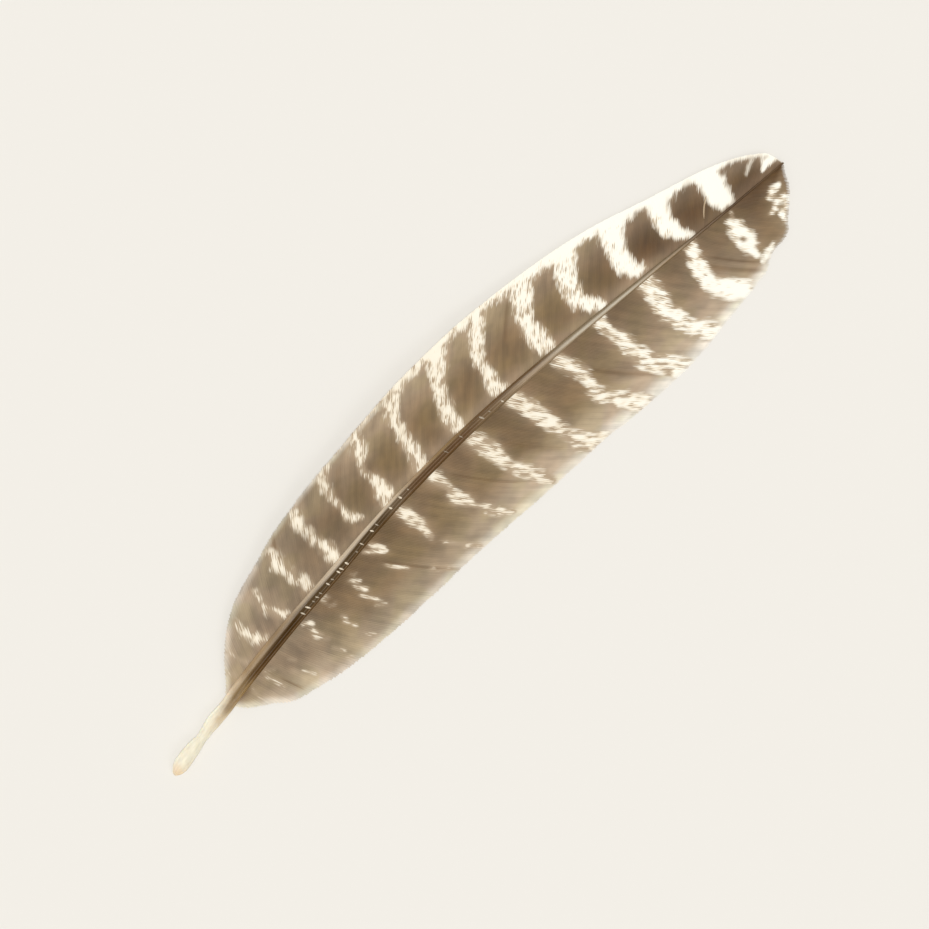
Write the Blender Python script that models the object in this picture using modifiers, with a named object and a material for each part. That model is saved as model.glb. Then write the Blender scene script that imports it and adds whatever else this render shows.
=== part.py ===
"""A barred flight feather, shed and lying on its back, as one grown piece.

The quill and shaft are a loft whose section changes from round to grooved. The two vanes are one
cambered sheet whose mesh lines run along the barbs, joined to the shaft. X runs from the quill's
tip to the feather's tip, Y towards the vane that stands clear of the surface, Z up. The grooved
underside of the feather faces up. Plan positions below are in millimetres from the quill's tip.
"""
import math

import bmesh
import bpy

MM = 0.001

# Driving dimensions
LENGTH = 200.0
PLAN_CENTRE = (100.0, 5.513)        # middle of the outline's box, which becomes the origin
VANE_FROM, VANE_TO = 21.0, 198.6    # stretch of the shaft that carries barbs
VANE_THICKNESS = 0.30
BARB_ROWS = 96
POINTS_ON_BARB = 7
RIB_HEIGHT = 0.07                   # every second row of barbs stands this much proud
EDGE_TOOTH = 0.35                   # and ends this much short of the outline

# Along the shaft: (distance along X, value)
SHAFT_LINE = [(0, 0.4), (3.2, 0.9), (7.4, 1.5), (10.2, 1.8), (14.8, 2.6), (19.4, 2.95), (24, 3.7),
              (43, 5.85), (60, 7.15), (72, 8.1), (84, 8.65), (98, 8.75), (112, 8.35), (130, 7.25),
              (158, 4.7), (186, 1.95), (200, 0.8)]
SHAFT_HALF_WIDTH = [(0, 0.45), (1.4, 1.45), (3.2, 1.90), (7.8, 1.70), (10.4, 1.28), (12.5, 1.42),
                    (15.5, 1.72), (19, 1.66), (35, 1.66), (56, 1.50), (80, 1.33), (107, 1.20),
                    (130, 0.93), (158, 0.62), (176, 0.36), (188, 0.26), (200, 0.20)]
SHAFT_DEPTH = [(0, 0.5), (1.3, 2.2), (3.6, 3.3), (7.6, 3.2), (10.4, 2.5), (16, 3.0), (35, 2.8),
               (80, 2.3), (130, 1.55), (158, 1.1), (186, 0.8), (200, 0.65)]
SHAFT_UNDERSIDE = [(0, 0.9), (20, 0.3), (40, 0), (150, 0), (178, 0.25), (200, 1.0)]
GROOVE_SHARE = [(0, 0), (17, 0), (26, 0.18), (40, 0.30), (95, 0.28), (118, 0.08), (128, 0), (200, 0)]
ROUNDNESS = [(0, 1), (16, 1), (30, 0), (200, 0)]

# The vanes' outer edges in plan, from the quill end to the tip
UPPER_EDGE = [(20.8, 4.6), (23.6, 7.2), (27.8, 11.8), (33.1, 16.1), (38.7, 19.1), (46.8, 21.3),
              (56, 23.8), (70, 25.8), (84, 26.9), (102, 27.8), (116, 27.6), (130, 26.4),
              (144, 24.4), (158, 21.4), (172, 16.9), (186, 12.4), (192.8, 9.3), (196.5, 6.9),
              (198.9, 4.6), (200, 0.8)]
LOWER_EDGE = [(21.4, 1.4), (23.6, -1.2), (27.8, -3.9), (32.4, -7.2), (38.5, -8.8), (46.8, -10.5),
              (57, -11.5), (73, -12.3), (89, -12.8), (108, -14.1), (127, -14.9), (132, -15.7),
              (152, -16.8), (164, -15.7), (179, -14), (184.5, -11.6), (188.2, -11.5),
              (192.6, -8.1), (196.5, -4.6), (200, 0.8)]

# Directions of the barbs against +X, in degrees, where they leave the shaft and at the edge
UPPER_ROOT_ANGLE = [(21, 76), (35, 68), (50, 60), (70, 53), (110, 50), (170, 46), (190, 36), (200, 16)]
UPPER_TIP_ANGLE = [(21, 62), (35, 55), (50, 48), (70, 42), (110, 38), (170, 34), (190, 26), (200, 10)]
LOWER_ROOT_ANGLE = [(21, -80), (35, -74), (50, -66), (80, -60), (120, -60), (165, -63), (185, -55),
                    (200, -20)]
LOWER_TIP_ANGLE = [(21, -68), (35, -60), (50, -50), (80, -44), (120, -45), (165, -42), (185, -36),
                   (200, -14)]
BARB_SPAN = 24.0                    # length over which a barb turns from its root angle to its tip angle

# Height at which the vanes leave the shaft, as a share of its depth
ATTACH_SHARE = [(0, 0.45), (24, 0.45), (50, 0.28), (130, 0.26), (186, 0.40), (200, 0.45)]

# Camber: the lower vane settles on the surface and the upper one lifts clear of it
UPPER_LIFT = [(21, 1.6), (45, 3.8), (85, 4.8), (118, 3.4), (150, 1.2), (180, 0.5), (200, 0.1)]
LIFT_SPAN = 19.0
LOWER_CLEARANCE = 0.03              # between the surface and the lower vane's underside
LOWER_SETTLE_SPAN = 9.0
WAVE_HEIGHT, WAVE_LENGTH = 0.16, 17.0


def along(table, x):
    """Value at x of a smooth curve through the table's points, with no overshoot between them."""
    x = min(max(x, table[0][0]), table[-1][0])
    i = max(k for k in range(len(table) - 1) if table[k][0] <= x)
    slopes = [(b[1] - a[1]) / (b[0] - a[0]) for a, b in zip(table, table[1:])]

    def tangent(k):
        if k == 0 or k == len(table) - 1:
            return slopes[min(k, len(slopes) - 1)]
        before, after = slopes[k - 1], slopes[k]
        return 0 if before * after <= 0 else 2 * before * after / (before + after)

    (x0, y0), (x1, y1) = table[i], table[i + 1]
    h = x1 - x0
    t = (x - x0) / h
    start, end = tangent(i) * h, tangent(i + 1) * h
    return (y0 * (2 * t**3 - 3 * t**2 + 1) + start * (t**3 - 2 * t**2 + t)
            + y1 * (3 * t**2 - 2 * t**3) + end * (t**3 - t**2))


def eased(t):
    t = min(max(t, 0), 1)
    return t * t * (3 - 2 * t)


def vane_height(x, y):
    """Height of the middle of the vane's thickness over the surface, at a point of the plan."""
    out = y - along(SHAFT_LINE, x)
    attach = along(SHAFT_UNDERSIDE, x) + along(ATTACH_SHARE, x) * along(SHAFT_DEPTH, x)
    wave = WAVE_HEIGHT * math.sin(2 * math.pi * (x - 0.8 * abs(out)) / WAVE_LENGTH)
    if out > 0:
        share = out / LIFT_SPAN
        return attach + along(UPPER_LIFT, x) * share**1.5 + wave * share
    floor = LOWER_CLEARANCE + VANE_THICKNESS / 2 + 0.45 * along(SHAFT_UNDERSIDE, x)
    share = eased(-out / LOWER_SETTLE_SPAN)
    return attach + (floor - attach) * share + (wave + WAVE_HEIGHT) * 0.6 * share


def barb_line(root, root_angle, tip_angle, edge, short):
    """Points in plan of one barb, from the shaft's middle line out to the edge."""
    turned, step = 0.0, 0.2
    start, end = along(root_angle, root), along(tip_angle, root)
    points = [(root, along(SHAFT_LINE, root))]
    side = 1 if start > 0 else -1
    while True:
        angle = math.radians(start + (end - start) * min(turned / BARB_SPAN, 1))
        x = points[-1][0] + step * math.cos(angle)
        y = points[-1][1] + step * math.sin(angle)
        if side * y > side * along(edge, x) or x > LENGTH:
            break
        points.append((x, y))
        turned += step
    reach = max(len(points) - 1 - short / step, 1)
    last = len(points) - 1
    line = []
    for k in range(POINTS_ON_BARB + 1):
        at = min(reach * k / POINTS_ON_BARB, last)
        i = min(int(at), max(last - 1, 0))
        a, b = points[i], points[min(i + 1, last)]
        line.append((a[0] + (b[0] - a[0]) * (at - i), a[1] + (b[1] - a[1]) * (at - i)))
    return line


def placed(x, y, z):
    return ((x - PLAN_CENTRE[0]) * MM, (y - PLAN_CENTRE[1]) * MM, z * MM)


def skin(mesh, rows, closed):
    """Quads between neighbouring rows of vertices. Closed rows are rings, capped at both ends."""
    wrap = len(rows[0]) if closed else len(rows[0]) - 1
    for a, b in zip(rows, rows[1:]):
        for k in range(wrap):
            n = (k + 1) % len(a)
            mesh.faces.new((a[k], b[k], b[n], a[n]))
    if closed:
        mesh.faces.new(rows[0])
        mesh.faces.new(reversed(rows[-1]))


def new_object(name, mesh, collection, material):
    bmesh.ops.recalc_face_normals(mesh, faces=mesh.faces)
    data = bpy.data.meshes.new(name)
    mesh.to_mesh(data)
    mesh.free()
    data.materials.append(material)
    made = bpy.data.objects.new(name, data)
    collection.objects.link(made)
    return made


def shaft_section(x):
    """The shaft's section as (across, up) shares of its half width and depth, anticlockwise."""
    groove, rounding = along(GROOVE_SHARE, x), along(ROUNDNESS, x)
    grown = [(-0.30, 0.00), (0.30, 0.00), (0.80, 0.13), (1.00, 0.40), (0.94, 0.72), (0.66, 0.95),
             (0.40, 1.00), (0.16, 1.01 - groove), (-0.16, 1.01 - groove), (-0.40, 1.00),
             (-0.66, 0.95), (-0.94, 0.72), (-1.00, 0.40), (-0.80, 0.13)]
    count = len(grown)
    section = []
    for k, (across, up) in enumerate(grown):
        turn = 2 * math.pi * (k - 0.5) / count
        circle = (math.sin(turn), 0.5 - 0.5 * math.cos(turn))
        section.append((across + (circle[0] - across) * rounding, up + (circle[1] - up) * rounding))
    return section


def make_shaft(collection, material):
    mesh = bmesh.new()
    near_tip = [0, 0.5, 1.3, 2.4, 3.6, 5.4]
    stations = near_tip + [7.6 + (LENGTH - 7.6) * k / 58 for k in range(59)]
    rings = []
    for x in stations:
        middle, base = along(SHAFT_LINE, x), along(SHAFT_UNDERSIDE, x)
        half, depth = along(SHAFT_HALF_WIDTH, x), along(SHAFT_DEPTH, x)
        ring = [mesh.verts.new(placed(x, middle + across * half, base + up * depth))
                for across, up in shaft_section(x)]
        rings.append(ring)
    skin(mesh, rings, closed=True)
    return new_object("feather", mesh, collection, material)


def make_vanes(collection, material):
    """One open sheet over both vanes. Each row runs along a pair of barbs, edge to shaft to edge."""
    mesh = bmesh.new()
    rows = []
    for r in range(BARB_ROWS):
        root = VANE_FROM + (VANE_TO - VANE_FROM) * r / (BARB_ROWS - 1)
        proud = RIB_HEIGHT if r % 2 else 0.0
        short = 0.0 if r % 2 else EDGE_TOOTH
        upper = barb_line(root, UPPER_ROOT_ANGLE, UPPER_TIP_ANGLE, UPPER_EDGE, short)
        lower = barb_line(root, LOWER_ROOT_ANGLE, LOWER_TIP_ANGLE, LOWER_EDGE, short)
        line = upper[::-1] + lower[1:]
        rows.append([mesh.verts.new(placed(x, y, vane_height(x, y) + proud)) for x, y in line])
    skin(mesh, rows, closed=False)
    sheet = new_object("vanes", mesh, collection, material)
    solid = sheet.modifiers.new("thickness", "SOLIDIFY")
    solid.thickness = VANE_THICKNESS * MM
    solid.offset = 0
    sheet.hide_render = True
    sheet.display_type = "WIRE"
    return sheet


def keratin(name, colour, roughness):
    material = bpy.data.materials.new(name)
    material.use_nodes = True
    shader = material.node_tree.nodes["Principled BSDF"]
    shader.inputs["Base Color"].default_value = (*colour, 1)
    shader.inputs["Roughness"].default_value = roughness
    shader.inputs["Metallic"].default_value = 0
    return material


def main():
    for old in list(bpy.data.objects):
        bpy.data.objects.remove(old)
    part = bpy.data.collections.new("pheasant_feather")
    helpers = bpy.data.collections.new("helpers")
    for collection in (part, helpers):
        bpy.context.scene.collection.children.link(collection)
    feather = make_shaft(part, keratin("shaft_keratin", (0.32, 0.24, 0.16), 0.35))
    vanes = make_vanes(helpers, keratin("vane_keratin", (0.30, 0.24, 0.17), 0.55))
    feather.data.materials.append(vanes.data.materials[0])
    union = feather.modifiers.new("grown_together", "BOOLEAN")
    union.operation = "UNION"
    union.solver = "EXACT"
    union.object = vanes


main()
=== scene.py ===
import math

import bpy
import numpy as np
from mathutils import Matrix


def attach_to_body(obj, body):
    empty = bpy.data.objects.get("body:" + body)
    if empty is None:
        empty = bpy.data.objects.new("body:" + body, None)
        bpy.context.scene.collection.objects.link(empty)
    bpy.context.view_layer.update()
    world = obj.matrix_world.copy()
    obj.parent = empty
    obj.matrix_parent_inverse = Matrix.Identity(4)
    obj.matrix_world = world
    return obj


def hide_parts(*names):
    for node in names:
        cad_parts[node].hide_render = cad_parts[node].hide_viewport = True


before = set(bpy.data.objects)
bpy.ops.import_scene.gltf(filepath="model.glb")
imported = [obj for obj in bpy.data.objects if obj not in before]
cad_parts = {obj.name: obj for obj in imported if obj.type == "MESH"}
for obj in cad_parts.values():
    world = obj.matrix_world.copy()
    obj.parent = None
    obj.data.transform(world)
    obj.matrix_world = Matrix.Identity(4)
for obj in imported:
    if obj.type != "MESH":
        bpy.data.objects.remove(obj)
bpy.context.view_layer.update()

MM = 0.001
RNG = np.random.default_rng(41)

# The sides of the shaft that the two vanes lie on. A table that differs between them is a pair.
UPPER, LOWER = 1, -1

# The form, with the same driving values as the solid
LENGTH = 200.0
PLAN_CENTRE = (100.0, 5.513)
VANE_FROM, VANE_TO = 21.0, 198.9
SHAFT_LINE = [(0, 0.4), (3.2, 0.9), (7.4, 1.5), (10.2, 1.8), (14.8, 2.6), (19.4, 2.95), (24, 3.7),
              (43, 5.85), (60, 7.15), (72, 8.1), (84, 8.65), (98, 8.75), (112, 8.35), (130, 7.25),
              (158, 4.7), (186, 1.95), (200, 0.8)]
SHAFT_HALF_WIDTH = [(0, 0.45), (1.4, 1.45), (3.2, 1.9), (7.8, 1.7), (10.4, 1.28), (12.5, 1.42),
                    (15.5, 1.72), (19, 1.66), (35, 1.66), (56, 1.5), (80, 1.33), (107, 1.2),
                    (130, 0.93), (158, 0.62), (176, 0.36), (188, 0.26), (200, 0.2)]
SHAFT_DEPTH = [(0, 0.5), (1.3, 2.2), (3.6, 3.3), (7.6, 3.2), (10.4, 2.5), (16, 3), (35, 2.8),
               (80, 2.3), (130, 1.55), (158, 1.1), (186, 0.8), (200, 0.65)]
SHAFT_UNDERSIDE = [(0, 0.9), (20, 0.3), (40, 0), (150, 0), (178, 0.25), (200, 1)]
GROOVE_SHARE = [(0, 0), (17, 0), (26, 0.18), (40, 0.3), (95, 0.28), (118, 0.08), (128, 0), (200, 0)]
ROUNDNESS = [(0, 1), (16, 1), (30, 0), (200, 0)]
EDGE = {
    UPPER: [(20.8, 4.6), (23.6, 7.2), (27.8, 11.8), (33.1, 16.1), (38.7, 19.1), (46.8, 21.3),
            (56, 23.8), (70, 25.8), (84, 26.9), (102, 27.8), (116, 27.6), (130, 26.4), (144, 24.4),
            (158, 21.4), (172, 16.9), (186, 12.4), (192.8, 9.3), (196.5, 6.9), (198.9, 4.6),
            (200, 0.8)],
    LOWER: [(21.4, 1.4), (23.6, -1.2), (27.8, -3.9), (32.4, -7.2), (38.5, -8.8), (46.8, -10.5),
            (57, -11.5), (73, -12.3), (89, -12.8), (108, -14.1), (127, -14.9), (132, -15.7),
            (152, -16.8), (164, -15.7), (179, -14), (184.5, -11.6), (188.2, -11.5), (192.6, -8.1),
            (196.5, -4.6), (200, 0.8)],
}
ROOT_ANGLE = {
    UPPER: [(21, 76), (35, 68), (50, 60), (70, 53), (110, 50), (170, 46), (190, 36), (200, 16)],
    LOWER: [(21, -80), (35, -74), (50, -66), (80, -60), (120, -60), (165, -63), (185, -55),
            (200, -20)],
}
TIP_ANGLE = {
    UPPER: [(21, 62), (35, 55), (50, 48), (70, 42), (110, 38), (170, 34), (190, 26), (200, 10)],
    LOWER: [(21, -68), (35, -60), (50, -50), (80, -44), (120, -45), (165, -42), (185, -36),
            (200, -14)],
}
BARB_SPAN = 24.0
ATTACH_SHARE = [(0, 0.45), (24, 0.45), (50, 0.28), (130, 0.26), (186, 0.4), (200, 0.45)]
UPPER_LIFT = [(21, 1.6), (45, 3.8), (85, 4.8), (118, 3.4), (150, 1.2), (180, 0.5), (200, 0.1)]
LIFT_SPAN = 19.0
VANE_THICKNESS = 0.30
LOWER_CLEARANCE = 0.03
LOWER_SETTLE_SPAN = 9.0
WAVE_HEIGHT, WAVE_LENGTH = 0.16, 17.0

# Barbs
BARBS_A_SIDE = 440
BARB_STEPS = 24  # rings along a barb
LONGEST_BARB = 48.0  # more than any barb needs to reach the outline
TIP_RAGGEDNESS = 0.45  # most that a barb stops short of the outline
# Length of a barb's tapering end
TAPER = {
    UPPER: [(21, 1.4), (200, 1.4)],
    LOWER: [(21, 1.8), (80, 2), (128, 2.4), (142, 1.4), (200, 1.4)],
}
# Share of its width that a barb keeps at its tip
TIP_WIDTH = {
    UPPER: [(21, 0.5), (80, 0.6), (100, 0.85), (190, 0.85), (199, 0.6)],
    LOWER: [(21, 0.6), (60, 0.65), (100, 0.45), (140, 0.25), (200, 0.25)],
}
# How far the barbs reach past the solid's outline
REACH = {
    UPPER: [(21, 0), (60, 0), (90, 0.2), (112, 0.3), (150, 0.3), (166, 0.15), (198, 0.15)],
    LOWER: [(21, 0.3), (60, 0.55), (186, 0.5), (198, 0.2)],
}
RAMUS_HEIGHT = 0.035  # of the ridge along the middle of a barb, over its web
RAMUS_DEPTH = 0.10
OVERLAP = 1.22  # a barb's width as a share of the room between its neighbours
# How groups of barbs rise and fall: (height, barbs to a cell of noise, millimetres to one)
CLUMPS = [(0.10, 5.0, 9.0), (0.04, 1.7, 5.0)]
STREAKS_A_BARB = 0.36  # cells of the bars' streaks from one barb to the next
STREAK_SLANT = 0.05  # cells that they stray across the barbs in a millimetre along them
BAR_JITTER = [(44, 0.15), (72, 0.25), (100, 0.5)]  # how far the bars wander along the barbs

# Pale bars across the vanes, as strokes: (strength, [(x, y, width), ...])
UPPER_BARS = [
    (0.85, [(28.7, 12, 0.9), (30.1, 7, 1)]),
    (0.65, [(24.8, 9, 0.9), (26.2, 6.9, 1.3)]),
    (1, [(36.8, 7.5, 2.2), (35.6, 9.2, 2.7)]),
    (0.8, [(35.4, 10.2, 2.4), (34.5, 12.3, 2.5), (34.7, 13.9, 2.1), (35.2, 15.3, 1.4)]),
    (0.95, [(44.4, 8.4, 2.1), (43.4, 10.4, 2.4), (42.4, 11.8, 2.1), (42.4, 13.4, 1.6)]),
    (0.85, [(42.5, 14.9, 1.3), (43.3, 17, 1.1)]),
    (0.75, [(52.6, 8.8, 2), (53, 10.6, 2.2)]),
    (0.75, [(53, 10.6, 2.2), (51.9, 12.5, 2.8), (51.6, 16.2, 2.9)]),
    (0.95, [(51.6, 16.2, 2.9), (51.4, 18.5, 3.2), (51.9, 20.2, 2.6)]),
    (0.5, [(49.3, 18.1, 0.7), (51.9, 21.8, 0.7)]),
    (0.9, [(61.6, 9.3, 2.6), (62.3, 11.6, 3), (62, 13.4, 2.8)]),
    (0.8, [(62, 13.4, 2.6), (61.3, 16, 2.2), (61.8, 18.5, 2), (61.3, 20.1, 2.3)]),
    (1, [(61.3, 20.1, 2.1), (61.8, 21.8, 2.8), (62, 23.4, 2.8)]),
    (1, [(72.7, 12, 1.2), (71.5, 13.2, 1.8), (71, 14.6, 2), (71.2, 16.4, 1.6)]),
    (0.7, [(71.2, 16.7, 1.5), (71.2, 20.5, 1.6)]),
    (0.6, [(71.3, 20.5, 1.9), (71.7, 22.4, 2.6), (72.7, 24.6, 3)]),
    (0.8, [(72.7, 24.6, 2.4), (75.2, 26, 2.2)]),
    (1, [(79.2, 10, 2.5), (80.6, 11.6, 3.5), (81.2, 13.9, 3), (81.2, 16.2, 2.1)]),
    (0.75, [(81.2, 16.2, 2.1), (80.3, 18.7, 1.6), (81.6, 21, 1.4)]),
    (1, [(82.2, 21.3, 1.8), (83.1, 22.7, 3.2), (84, 24.3, 3.8), (84.9, 25.7, 3.2)]),
    (1, [(90.7, 10.2, 3), (92.1, 13.9, 3.7), (92.6, 16.2, 3.2), (92.8, 18.5, 2.5), (94, 20.8, 2.5),
         (94.2, 23.1, 3.2), (95.6, 24.8, 3.7), (99.5, 27.3, 2.8)]),
    (1, [(103.7, 10, 2.3), (103.5, 11.6, 3.7), (103.5, 13.9, 3.5), (105.8, 18.5, 3.2),
         (106.9, 20.8, 3), (108.6, 23.1, 3.9), (112, 26.6, 4.6)]),
    (1, [(117.8, 9.5, 2.1), (116.2, 11.1, 4.2), (116.4, 12.7, 3.5), (117.4, 16.2, 2.3),
         (116.7, 17.8, 1.6), (118.7, 19.7, 3), (121.5, 23.1, 3.7), (125, 26.2, 3.7)]),
    (1, [(132.2, 8.6, 1.9), (131, 10.4, 4.4), (130.8, 12, 5.3), (131.2, 13.9, 4.4),
         (131.5, 16.2, 3.7), (132.2, 18.5, 4.2), (134.3, 20.8, 5.1), (136.1, 22.7, 5.1),
         (138.4, 24.1, 3.2)]),
    (1, [(147.2, 7.2, 1.9), (145.4, 9.3, 3.5), (143.3, 11.6, 3.5), (144.2, 13.9, 4.6),
         (144.9, 16.2, 4.4), (146.1, 18.5, 5.1), (147.9, 20.8, 6), (149.8, 23.1, 6.5)]),
    (1, [(160, 6, 0.9), (158.8, 6.9, 2.8), (157.4, 9.3, 4.6), (157.6, 11.6, 5.1), (158.3, 13.9, 4.9),
         (159.3, 16.2, 5.6), (161.1, 18.5, 6)]),
    (1, [(173.1, 3.9, 1.6), (172, 5.1, 2.3), (171.1, 6.9, 3.5), (170.6, 9.3, 4.6), (170.8, 11.6, 4.6),
         (171.8, 13.9, 4.6), (173.6, 15.7, 5.1)]),
    (1, [(184.6, 3.4, 2.8), (184, 4.6, 4.4), (184.3, 6.9, 5.8), (185, 9.3, 5.8), (185.4, 11.6, 6.5)]),
    (0.1, [(192.1, 5.1, 0.7), (195.8, 6.8, 1)]),
    (1, [(195.9, 3.1, 0.9), (197.4, 3.9, 2), (199.2, 3.1, 1.7)]),
]
LOWER_BARS = [
    (0.55, [(31.2, 1.2, 0.9), (32.6, -3.5, 0.8)]),
    (0.25, [(31.8, 2.4, 0.8), (33.6, 1.4, 0.8)]),
    (0.5, [(26.9, 1.4, 0.8), (26.4, -1.9, 1.2)]),
    (0.5, [(37.7, 0.5, 0.7), (38.6, -0.8, 0.7)]),
    (0.45, [(36.3, -2.1, 0.9), (37.7, -3.8, 0.9)]),
    (0.6, [(37.9, -3.6, 0.8), (39.7, -6.2, 0.8)]),
    (0.45, [(46.9, -4.9, 0.9), (48.1, -7.2, 0.9)]),
    (0.35, [(47.6, -8.9, 0.8), (48.4, -9.7, 0.7)]),
    (1, [(45.9, 4, 1), (47.4, 2.4, 0.9)]),
    (0.85, [(46.4, 1.3, 1), (47.1, -0.8, 0.9)]),
    (0.85, [(45.5, 0.1, 0.7), (46.3, -1, 0.7)]),
    (0.3, [(46.6, -1.8, 0.9), (47.5, -2.8, 0.7)]),
    (0.75, [(52.8, 4.6, 0.8), (54.3, 4.4, 0.8)]),
    (0.35, [(53, 2.8, 0.7), (54.2, 2.1, 0.8)]),
    (0.9, [(53.4, -1.3, 0.6), (53.8, -1.8, 0.7)]),
    (0.85, [(52.8, -2.6, 0.6), (54.3, -5, 0.6)]),
    (0.6, [(54.6, -8.2, 0.8), (56.1, -9.7, 1)]),
    (0.6, [(61.8, 4, 0.8), (62.4, 3.6, 0.7)]),
    (1, [(60.6, 3.1, 0.8), (61.9, 1.8, 0.9)]),
    (1, [(60.5, 1.8, 0.6), (61.8, -0.9, 1.1)]),
    (1, [(60, -1, 0.7), (62.2, -4.4, 0.8)]),
    (0.35, [(60.8, -5, 0.8), (62.8, -6.4, 0.9)]),
    (1, [(67.4, 5.8, 0.8), (69.5, 4, 0.9), (71.4, 2.3, 0.9)]),
    (0.9, [(69.7, 5.8, 1.2), (70.9, 4.2, 1.2), (71.6, 2.8, 0.9)]),
    (0.9, [(68.9, 0, 0.6), (70.4, -2, 0.7), (72.1, -4.1, 0.6)]),
    (0.6, [(75.4, -7.7, 0.6), (76.5, -8.5, 0.6)]),
    (0.8, [(77, -9.8, 0.8), (79, -11.3, 1)]),
    (1, [(80.1, 6.7, 2.3), (80.8, 5.1, 3), (81, 3.2, 2.8), (81.5, 1.4, 1.9), (80.8, -1.9, 1.4),
         (81, -3, 1.2)]),
    (0.6, [(82.2, -5.6, 0.7), (85, -9.3, 0.8)]),
    (0.85, [(85.2, -9.7, 0.9), (87.5, -12, 1.2)]),
    (1, [(91.4, 6.7, 2.8), (91.9, 3.5, 1.9), (92.1, 1.9, 1.2), (91.4, 0.7, 1.9), (91.4, -0.7, 2.8),
         (92.4, -2.1, 2.8), (93.5, -3.5, 1.6)]),
    (0.95, [(93.1, -4.2, 0.9), (94.4, -6.2, 1.2), (95.8, -8.3, 1.6), (97, -9.7, 1.2)]),
    (1, [(94, -7.6, 0.9), (96.1, -10, 1.4), (98.4, -11.8, 1.2)]),
    (1, [(103.3, 7.5, 2.5), (104.4, 4.6, 3.5), (105.1, 2.3, 4.2), (105.3, 0, 3.9), (105.3, -2.3, 2.5),
         (105.8, -4.6, 2.1), (107.2, -6.9, 2.8), (109.5, -11.6, 2.8), (110.2, -13.2, 1.9)]),
    (1, [(117.1, 6.5, 3.5), (118.1, 2.3, 4.2), (119, -2.3, 3.7), (120.1, -6.9, 3), (120.6, -9.3, 3),
         (121.3, -11.6, 4.4), (122.9, -13.9, 4.6), (125.2, -15.3, 4.2)]),
    (1, [(130.8, 5.8, 3), (131, 3.5, 3), (132.6, 0, 3.5), (132.4, -3.5, 2.1), (131.9, -5.1, 3),
         (131.9, -6.9, 3.5), (133.6, -10.4, 3), (135, -12, 3.7), (137.5, -15.7, 5.1)]),
    (1, [(143.8, 5.2, 3.4), (143.6, 1.9, 2.4), (144.2, 0, 3.2), (144.7, -2.3, 3.5),
         (144.4, -4.6, 3.5), (145.4, -9.3, 4.6), (146.3, -11.6, 4.9), (150, -16.2, 5.6)]),
    (1, [(158.1, 4.2, 4.8), (157.7, 0, 4.9), (156.2, -4.6, 4.2), (156.9, -6.9, 4.4),
         (157.4, -9.3, 3.5), (158.1, -11.6, 3.9), (160.9, -15.3, 4.6)]),
    (1, [(172, 2.3, 1.9), (170.6, 1.2, 3), (169.7, -0.5, 3.2), (168.5, -4.6, 4.2), (168.3, -6.9, 3.9),
         (169.2, -9.3, 3.9), (170.8, -11.6, 4.6), (172.7, -13.9, 4.6)]),
    (0.6, [(183.1, 1.4, 0.7), (182.4, 0.5, 0.9)]),
    (1, [(181.7, -0.5, 2.1), (181.5, -1.9, 3.5), (181.2, -5.3, 4.6), (180.8, -6.9, 3.5),
         (180.6, -9.7, 1.4)]),
    (0.9, [(180.6, -12, 0.9), (182.6, -11.6, 1.4), (185.2, -10.9, 0.9)]),
    (1, [(192.1, -2.5, 1.2), (193.7, -2.1, 2.1), (195.4, -2.1, 1.2)]),
    (1, [(190, -5.6, 0.9), (191.7, -4.9, 1.4), (193.5, -4.4, 1.4), (194.9, -4.6, 0.9)]),
    (1, [(190.7, -8.6, 1.2), (192.1, -7.4, 1.9), (194, -6.2, 1.6), (195.1, -5.3, 0.9)]),
]
# Small dark spots inside pale bars: (x, y, width)
DARK_SPOTS = [(180.8, -5.3, 1.2), (193.8, -3.6, 1.7), (192.6, -5.6, 1.1)]
# Width of the pale margin along the upper vane's edge: (x, width)
UPPER_MARGIN = [(58, -1.6), (70, -0.4), (84, 0.25), (93, 0.6), (101, 0.9), (109, 1.5), (116, 1.3),
                (125, 1.1), (134, 1.2), (141, 1.7), (145, 1.6), (150, 2), (157, 1.4), (163, 2.1),
                (169, 1.5), (174.5, 2.2), (182, 0.9), (188.5, 1), (192, 0.3), (197, 0.6), (200, 0)]
# How much more solid its white is than that of the bars: (x, level)
MARGIN_SOLIDITY = [(58, -0.2), (90, 0.2), (118, 0.6), (134, 0.7), (142, 1), (152, 1.8)]
CORNER_FILL = 1.3  # how far the margin rounds the corners it makes with the bars
EDGE_SLANT = 0.9  # distance from the slanting edge as a share of the distance in y

# How far the ground pales towards the upper vane's edge: (x, share)
UPPER_PALING = [(24, 0.8), (38, 0.6), (54, 0.3), (72, 0.45), (102, 0.65), (140, 0.4), (158, 0.4),
                (174, 0.2), (190, 0.3)]
# How solid the white of the bars is, before streaks darken it: (x, level)
SOLIDITY = {
    UPPER: [(30, 0.05), (44, 0.2), (52, 0.35), (62, 0.5), (80, 0.4), (95, 0.25), (116, 0.5),
            (130, 0.45), (145, 0.7), (168, 1.5), (176, 2), (182, 3.2)],
    LOWER: [(30, 0.2), (46, 0.4), (70, 0.3), (80, 0.2), (90, 0.3), (125, 0.2), (150, 0.25),
            (168, 0.6), (182, 0.8), (189, 0.1)],
}
# What the bars lose of that in their outer half
FADING = {
    UPPER: [(30, 0), (46, -0.3), (62, -0.3), (72, 0.1), (85, 0.1), (100, 0)],
    LOWER: [(55, 0), (68, 0.1), (80, 0.4), (125, 0.35), (140, 0), (156, 0), (166, -0.7)],
}
FAINTNESS = 1.5  # how much of it a bar without strength loses
# How much wider the lower bars are than their strokes, each way, and how much crisper
LOWER_SWELL = [(44, 0), (68, 0), (84, 0.12)]
LOWER_SHARPNESS = [(40, 1.3), (70, 1.35), (84, 1)]
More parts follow.
